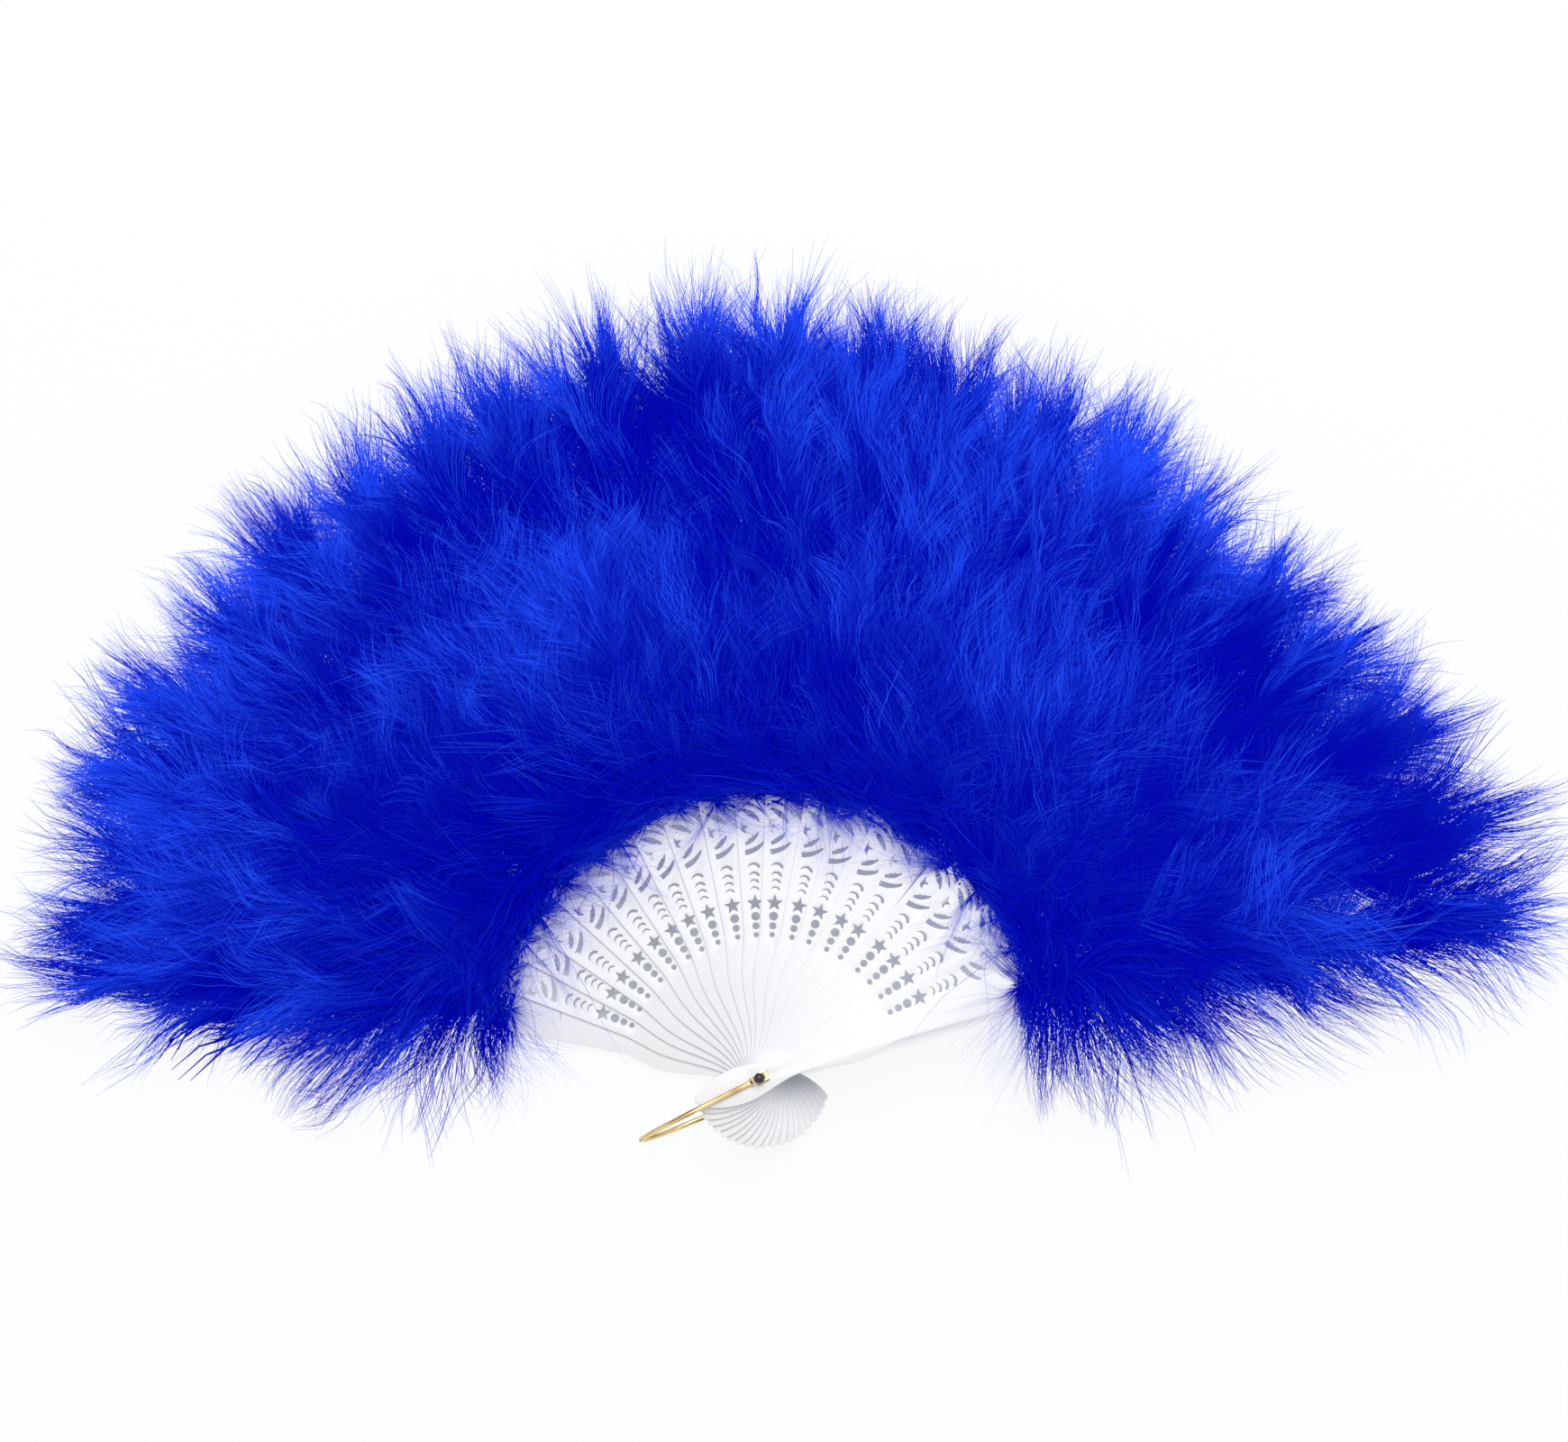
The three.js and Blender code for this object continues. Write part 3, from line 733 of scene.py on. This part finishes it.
def quill_tree(material):
    """Two quills on one foot, thickest where they meet the stick, that part and thin out to their tips."""
    tree, given = new_tree("dyed_quills", {
        "Seat": (0.0, 92.0, 14.0), "Length": 170.0, "Rise": 0.0, "Direction": 0.0,
    })
    wire = Wire(tree)
    quills, number = numbered_copies(wire, straight_curve(wire, quill_points), 2)
    t = share_along(wire)
    along = (given.out("Length") - tip_hair) * t
    place = wire.point(along * fork * (number * 2 - 1), along, given.out("Rise") * t)
    quills = wire.node("GeometryNodeSetPosition", values={"Geometry": quills, "Position": place})
    section = wire.node("GeometryNodeCurvePrimitiveCircle", values={"Resolution": quill_sides, "Radius": 1.0})
    tubes = wire.node("GeometryNodeCurveToMesh", values={
        "Curve": quills, "Profile Curve": section, "Fill Caps": True,
        "Scale": quill_tip + (quill_foot - quill_tip) * (1 - t) ** quill_taper,
    })
    finish_tree(wire, turned_out(wire, tubes, given), material)
    return tree


def seat_and_tip(node):
    """The two ends of a plume's solid, in millimetres."""
    points = points_of(node) / MM
    reach = np.hypot(points[:, 0], points[:, 1])
    seat = points[reach < reach.min() + end_slack].mean(axis=0)
    away = np.linalg.norm(points - seat, axis=1)
    return seat, points[away > away.max() - end_slack].mean(axis=0)


def roll_of(node, direction):
    """How much a plume's solid rises for each millimetre to its left."""
    points = points_of(node)
    points = points - points.mean(axis=0)
    leftward = points[:, 1] * math.cos(direction) - points[:, 0] * math.sin(direction)
    return float(np.dot(leftward, points[:, 2]) / np.dot(leftward, leftward))


plume_nodes = plume_tree(marabou_material())
quill_nodes = quill_tree(quill_material())
for number, blade in enumerate(blades):
    node = blade + "_plume"
    seat, tip = seat_and_tip(node)
    direction = math.atan2(tip[1] - seat[1], tip[0] - seat[0])
    place = {
        "Seat": tuple(seat), "Length": math.dist(seat[:2], tip[:2]), "Rise": tip[2] - seat[2],
        "Direction": direction,
    }
    plume = grown("marabou_" + blade, plume_nodes, {
        **place, "Roll": roll_of(node, direction), "Seed": number,
        "Outer side": {"back_guard": -1.0, "front_guard": 1.0}.get(blade, 0.0),
    })
    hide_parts(node)
    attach(plume, blade)
    quill = grown("quills_" + blade, quill_nodes, place)
    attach(quill, blade)

# Rivet: a brass-coloured pin through the whole stack, with a flat rear head that was struck with a small
# dimple, and a glossy black ball pressed on its front end.
turned_sides, ball_steps = 48, 24
pin_radius, head_top, head_rounding = 0.9, 1.0, 0.35
dimple_radius, dimple_depth, dimple_wall = 0.55, 0.2, (0.6, 0.7)
# The dark gold is partly tarnished metal and partly painted dark reflection, in streaks along the wire
gold_bright, gold_tarnish_and_dark_reflection = (0.8, 0.6, 0.29), (0.3, 0.18, 0.05)
gold_roughness, tarnish_roughness, mark_roughness = 0.12, 0.12, 0.06
streak_size, tarnish_and_reflection_range = (14 * MM, 0.7 * MM, 14 * MM), (0.46, 0.6)
tarnish_and_reflection_streaks, drawing_marks = {"scale": 1, "detail": 2}, {"scale": 3500, "detail": 2}
enamel_black, enamel_dusty = (0.004, 0.004, 0.008), (0.02, 0.02, 0.032)
enamel_dust, enamel_roughness, dust_roughness = {"scale": 1500, "detail": 4}, 0.06, 0.12
loop_direction = direction_of("wire_loop")


def turned_piece(name, profile, material):
    """A piece turned about the rivet's axis from a profile of radii and heights in millimetres."""
    shape = bmesh.new()
    points = [shape.verts.new((radius * MM, 0, height * MM)) for radius, height in profile]
    edges = [shape.edges.new(pair) for pair in zip(points, points[1:])]
    bmesh.ops.spin(
        shape, geom=points + edges, cent=(0, 0, 0), axis=(0, 0, 1), angle=2 * math.pi, steps=turned_sides,
    )
    bmesh.ops.remove_doubles(shape, verts=shape.verts, dist=weld_distance * MM)
    bmesh.ops.recalc_face_normals(shape, faces=shape.faces)
    mesh = bpy.data.meshes.new(name)
    shape.to_mesh(mesh)
    shape.free()
    mesh.shade_smooth()
    mesh.set_sharp_from_angle(angle=smooth_angle)
    mesh.materials.append(material)
    return add_object(name, mesh)


def gold_material():
    """Polished yellow metal plate with fine drawing marks, and dark streaks along the wire that are partly
    tarnished metal and partly painted dark reflection.
    """
    material, shader, wire = new_material("gold_plate")
    place = wire.node("ShaderNodeTexCoord").out("Object")
    drawn_out = wire.node("ShaderNodeMapping", {"vector_type": "TEXTURE"}, {
        "Vector": place, "Rotation": (0, 0, loop_direction), "Scale": streak_size,
    })
    # Painted reflection: dark streaks along the wire, partly tarnished metal and partly painted reflection of
    # dark surroundings
    tarnish_and_reflection = surface_noise(drawn_out, **tarnish_and_reflection_streaks).mapped(tarnish_and_reflection_range, curve="SMOOTHSTEP")
    marks = surface_noise(place, **drawing_marks)
    feed(shader, {
        "Base Color": tarnish_and_reflection.between(gold_bright, gold_tarnish_and_dark_reflection), "Metallic": 1,
        "Roughness": gold_roughness + tarnish_and_reflection * tarnish_roughness + marks * mark_roughness,
    })
    return material


def enamel_material():
    """Glossy black enamel, with faint dust and handling marks that dull it in spots."""
    material, shader, wire = new_material("black_enamel")
    dust = surface_noise(wire.node("ShaderNodeTexCoord").out("Object"), **enamel_dust)
    feed(shader, {
        "Base Color": dust.between(enamel_black, enamel_dusty),
        "Roughness": enamel_roughness + dust * dust_roughness,
    })
    return material


gold = gold_material()
low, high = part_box("rivet_pin")
corner_x = high.x / MM - head_rounding
pin = turned_piece("rivet_pin_turned", [
    (0, dimple_depth), (dimple_radius * dimple_wall[0], dimple_depth * dimple_wall[1]), (dimple_radius, 0),
    *arc(corner_x, head_rounding, head_rounding, -math.pi / 2, 0, corner_steps),
    *arc(corner_x, head_top - head_rounding, head_rounding, 0, math.pi / 2, corner_steps),
    (pin_radius, head_top), (pin_radius, high.z / MM), (0, high.z / MM),
], gold)
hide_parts("rivet_pin")
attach(pin, "back_guard")

low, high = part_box("rivet_ball")
ball_radius = high.x / MM
ball_middle = high.z / MM - ball_radius
seat_angle = math.asin((low.z / MM - ball_middle) / ball_radius)
ball = turned_piece("rivet_ball_turned", [
    (0, low.z / MM), *arc(0, ball_middle, ball_radius, seat_angle, math.pi / 2, ball_steps),
], enamel_material())
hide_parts("rivet_ball")
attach(ball, "back_guard")

# Wire loop: polished gold wire bent into a hairpin that holds the whole stack. Each end is hammered flat
# and drilled, so that the loop swings on the rivet, with one eye in front and one behind.
wire_radius, wire_start, loop_straight, wire_points, wire_sides = 0.8, 2.5, 23.0, 110, 20
eye_thickness, eye_width, eye_overhang, eye_length = 0.8, 3.6, 3.0, 4.8
eye_corner, eye_corner_steps, eye_rounding = 0.7, 5, 0.12
flat_until, round_from, rear_leg_bow = 2.2, 3.4, -2.0


def reach_of(node, angle):
    """Farthest distance of a node from the rivet along a direction, in millimetres."""
    points = points_of(node)
    return float((points[:, 0] * math.cos(angle) + points[:, 1] * math.sin(angle)).max() / MM)


def loop_tree(material):
    """A wire that runs back along one leg, round the bend and along the other, with an eye at each end."""
    tree, given = new_tree("wire_loop", {
        "Rear height": 1.0, "Front height": 27.0, "Reach": 44.0, "Seat": (0.0, 0.0, 0.0), "Direction": 0.0,
    })
    wire = Wire(tree)
    rear, front = given.out("Rear height"), given.out("Front height")
    middle, half_gap = (front + rear) / 2, (front - rear) / 2
    bend = given.out("Reach") - wire_radius - loop_straight
    leg = loop_straight - wire_start
    bend_length = (half_gap + bend) * (math.pi / 2)
    run = share_along(wire) * (2 * leg + bend_length)
    turned = ((run - leg) / bend_length).at_least(0).at_most(1)
    angle = turned * math.pi - math.pi / 2
    past_bend = (run - leg - bend_length).at_least(0)
    bowed = run.mapped((round_from, leg), (0.0, rear_leg_bow), "SMOOTHSTEP")
    path = wire.point(
        bowed * (1 - turned * 2).at_least(0),
        wire_start + run.at_most(leg) + bend * wire.math("COSINE", angle) - past_bend,
        middle + half_gap * wire.math("SINE", angle),
    )
    line = wire.node("GeometryNodeSetPosition", values={
        "Geometry": straight_curve(wire, wire_points), "Position": path,
    })
    section = wire.node("GeometryNodeCurvePrimitiveCircle", values={
        "Resolution": wire_sides, "Radius": wire_radius,
    })
    round_wire = wire.node("GeometryNodeCurveToMesh", values={
        "Curve": line, "Profile Curve": section, "Fill Caps": True,
    })

    # The wire flattens and widens towards its eyes, on the side that faces the guards
    x, y, z = wire.node("GeometryNodeInputPosition").parts()
    flat = y.mapped((flat_until, round_from), (1.0, 0.0), "SMOOTHSTEP")
    side = wire.math("SIGN", z - middle)
    leg_height = middle + half_gap * side
    thinned = 1 - flat * (1 - eye_thickness / 2 / wire_radius)
    hammered = wire.point(
        x * (1 + flat * (eye_width / 2 / wire_radius - 1)), y,
        leg_height + (z - leg_height) * thinned - side * flat * (wire_radius - eye_thickness / 2),
    )
    round_wire = wire.node("GeometryNodeSetPosition", values={"Geometry": round_wire, "Position": hammered})

    rectangle = wire.node("GeometryNodeCurvePrimitiveQuadrilateral", values={
        "Width": eye_width, "Height": eye_length,
    })
    rectangle = wire.node("GeometryNodeFilletCurve", {"mode": "POLY"}, {
        "Curve": rectangle, "Radius": eye_corner, "Count": eye_corner_steps, "Limit Radius": True,
    })
    rectangle = moved(wire, rectangle, (0, eye_length / 2 - eye_overhang, 0))
    eye = plate(wire, [rectangle, hole(wire, 0, 0, pin_hole_radius)], eye_thickness)
    bottoms = (rear + (wire_radius - eye_thickness), front - wire_radius)
    eyes = [moved(wire, eye, wire.point(z=bottom)) for bottom in bottoms]
    whole = wire.node("GeometryNodeJoinGeometry", values={0: [round_wire, *eyes]})
    finish_tree(wire, turned_out(wire, whole, given), material)
    return tree


low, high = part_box("wire_loop")
loop = grown("bent_wire_loop", loop_tree(gold), {
    "Rear height": low.z / MM + wire_radius, "Front height": high.z / MM - wire_radius,
    "Reach": reach_of("wire_loop", loop_direction), "Direction": loop_direction,
})
rounded_edges(loop, eye_rounding * MM, edge_segments)
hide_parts("wire_loop")
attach(loop, "wire_loop")
